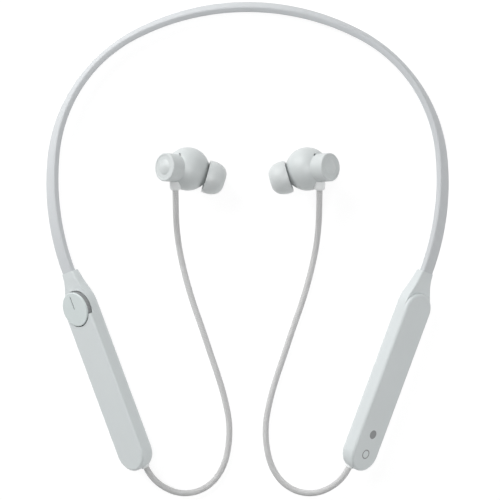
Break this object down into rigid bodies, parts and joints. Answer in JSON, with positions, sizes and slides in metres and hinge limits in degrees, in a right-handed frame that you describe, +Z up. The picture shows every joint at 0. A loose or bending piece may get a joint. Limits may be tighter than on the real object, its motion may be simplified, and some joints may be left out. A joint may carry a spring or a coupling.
{
  "type": "neckband earphones",
  "caption": "Flexible neck loop with a control pod on each end and a thin cord from each pod to an in-ear earbud, with a turning dial, a port flap and soft tips.",
  "frame": {"origin": "centre of the footprint of everything but the cords, on the table the earphones lie on", "axes": "+Y from the pods to the back of the neck loop, +Z up off the table, the wearer's two sides at +X and -X"},
  "size_m": [0.1526, 0.188, 0.0201],
  "materials": {
    "strap_silicone": "matte, fine grain",
    "pod_plastic": "satin, fine grain",
    "dial_plastic": "satin",
    "bud_plastic": "satin",
    "tip_silicone": "soft translucent",
    "cord_jacket": "fine woven grain",
    "boot_rubber": "matte",
    "spring_steel": "drawn",
    "bright_steel": "satin",
    "magnet_plate": "plated",
    "wire_jacket": "satin",
    "circuit_board": "solder mask",
    "chip_black": "moulded",
    "battery_foil": "foil wrap",
    "foam": "open cell",
    "status_lens": "smoked",
    "ring_grey": "polished",
    "diaphragm_film": "film",
    "acoustic_mesh": "woven"
  },
  "bodies": {
    "neckband": {"strap": "strap_silicone", "spring_wire": "spring_steel", "strap_harness": "wire_jacket"},
    "left_arm": {"left_pod_housing": "pod_plastic", "left_pod_cover": "pod_plastic", "left_cord_grommet": "boot_rubber", "left_harness_terminal": "chip_black", "left_cord": "cord_jacket", "left_bud_front_shell": "bud_plastic", "left_bud_drum": "bud_plastic", "left_bud_end_cap": "bud_plastic", "left_bud_cap_magnet": "magnet_plate", "left_bud_board": "circuit_board", "left_driver_frame": "chip_black", "left_driver_magnet": "magnet_plate", "left_driver_diaphragm": "diaphragm_film", "left_nozzle_mesh": "acoustic_mesh", "left_vent_mesh": "acoustic_mesh", "left_strain_relief": "boot_rubber", "encoder_body": "chip_black", "snap_dome": "bright_steel", "main_board": "circuit_board", "shield_can": "bright_steel", "board_microphone": "bright_steel"},
    "dial_carrier": {"dial_sleeve": "chip_black"},
    "dial": {"dial_cap": "dial_plastic", "dial_ring": "dial_plastic", "dial_shaft": "bright_steel"},
    "left_tip": {"left_ear_tip": "tip_silicone"},
    "right_arm": {"right_pod_housing": "pod_plastic", "right_pod_cover": "pod_plastic", "right_cord_grommet": "boot_rubber", "right_harness_terminal": "chip_black", "right_cord": "cord_jacket", "right_bud_front_shell": "bud_plastic", "right_bud_drum": "bud_plastic", "right_bud_end_cap": "bud_plastic", "right_bud_cap_magnet": "magnet_plate", "right_bud_board": "circuit_board", "right_driver_frame": "chip_black", "right_driver_magnet": "magnet_plate", "right_driver_diaphragm": "diaphragm_film", "right_nozzle_mesh": "acoustic_mesh", "right_vent_mesh": "acoustic_mesh", "right_strain_relief": "boot_rubber", "status_window": "status_lens", "status_lamp": "status_lens", "ring_inlay": "ring_grey", "battery_cell": "battery_foil", "battery_foam": "foam", "charge_board": "circuit_board", "usb_receptacle": "bright_steel", "button_board": "circuit_board", "button_switch": "chip_black"},
    "power_key": {"power_button": "dial_plastic"},
    "port_cover": {"port_flap": "strap_silicone"},
    "right_tip": {"right_ear_tip": "tip_silicone"}
  },
  "joints": [
    {"name": "left_arm_flex", "type": "hinge", "parent": "neckband", "child": "left_arm", "pos_m": [-0.0601, 0.0622, 0.0037], "axis": [0, 0, -1], "range_deg": [-1.5, 12], "stiffness_Nm_per_rad": 0.4, "deforming": ["strap", "spring_wire", "strap_harness"]},
    {"name": "right_arm_flex", "type": "hinge", "parent": "neckband", "child": "right_arm", "pos_m": [0.0601, 0.0622, 0.0037], "axis": [0, 0, 1], "range_deg": [-1.5, 12], "stiffness_Nm_per_rad": 0.4, "deforming": ["strap", "spring_wire", "strap_harness"]},
    {"name": "dial_press", "type": "slide", "parent": "left_arm", "child": "dial_carrier", "axis": [0.6454, 0.2394, -0.7254], "range_m": [0, 0.0003], "stiffness_N_per_m": 800},
    {"name": "dial_turn", "type": "hinge", "parent": "dial_carrier", "child": "dial", "pos_m": [-0.06511, -0.02802, 0.00915], "axis": [-0.6454, -0.2394, 0.7254], "continuous": true},
    {"name": "left_tip_pull", "type": "slide", "parent": "left_arm", "child": "left_tip", "axis": [0.9554, -0.2821, -0.0872], "range_m": [0, 0.007]},
    {"name": "power_press", "type": "slide", "parent": "right_arm", "child": "power_key", "axis": [-0.6801, 0.2523, 0.6884], "range_m": [0, 0.00025], "stiffness_N_per_m": 700},
    {"name": "port_flap_hinge", "type": "hinge", "parent": "right_arm", "child": "port_cover", "pos_m": [0.05259, -0.0703, 0.00265], "axis": [-0.3478, -0.9376, 0], "range_deg": [0, 95]},
    {"name": "right_tip_pull", "type": "slide", "parent": "right_arm", "child": "right_tip", "axis": [-0.9554, -0.2821, -0.0872], "range_m": [0, 0.007]}
  ]
}
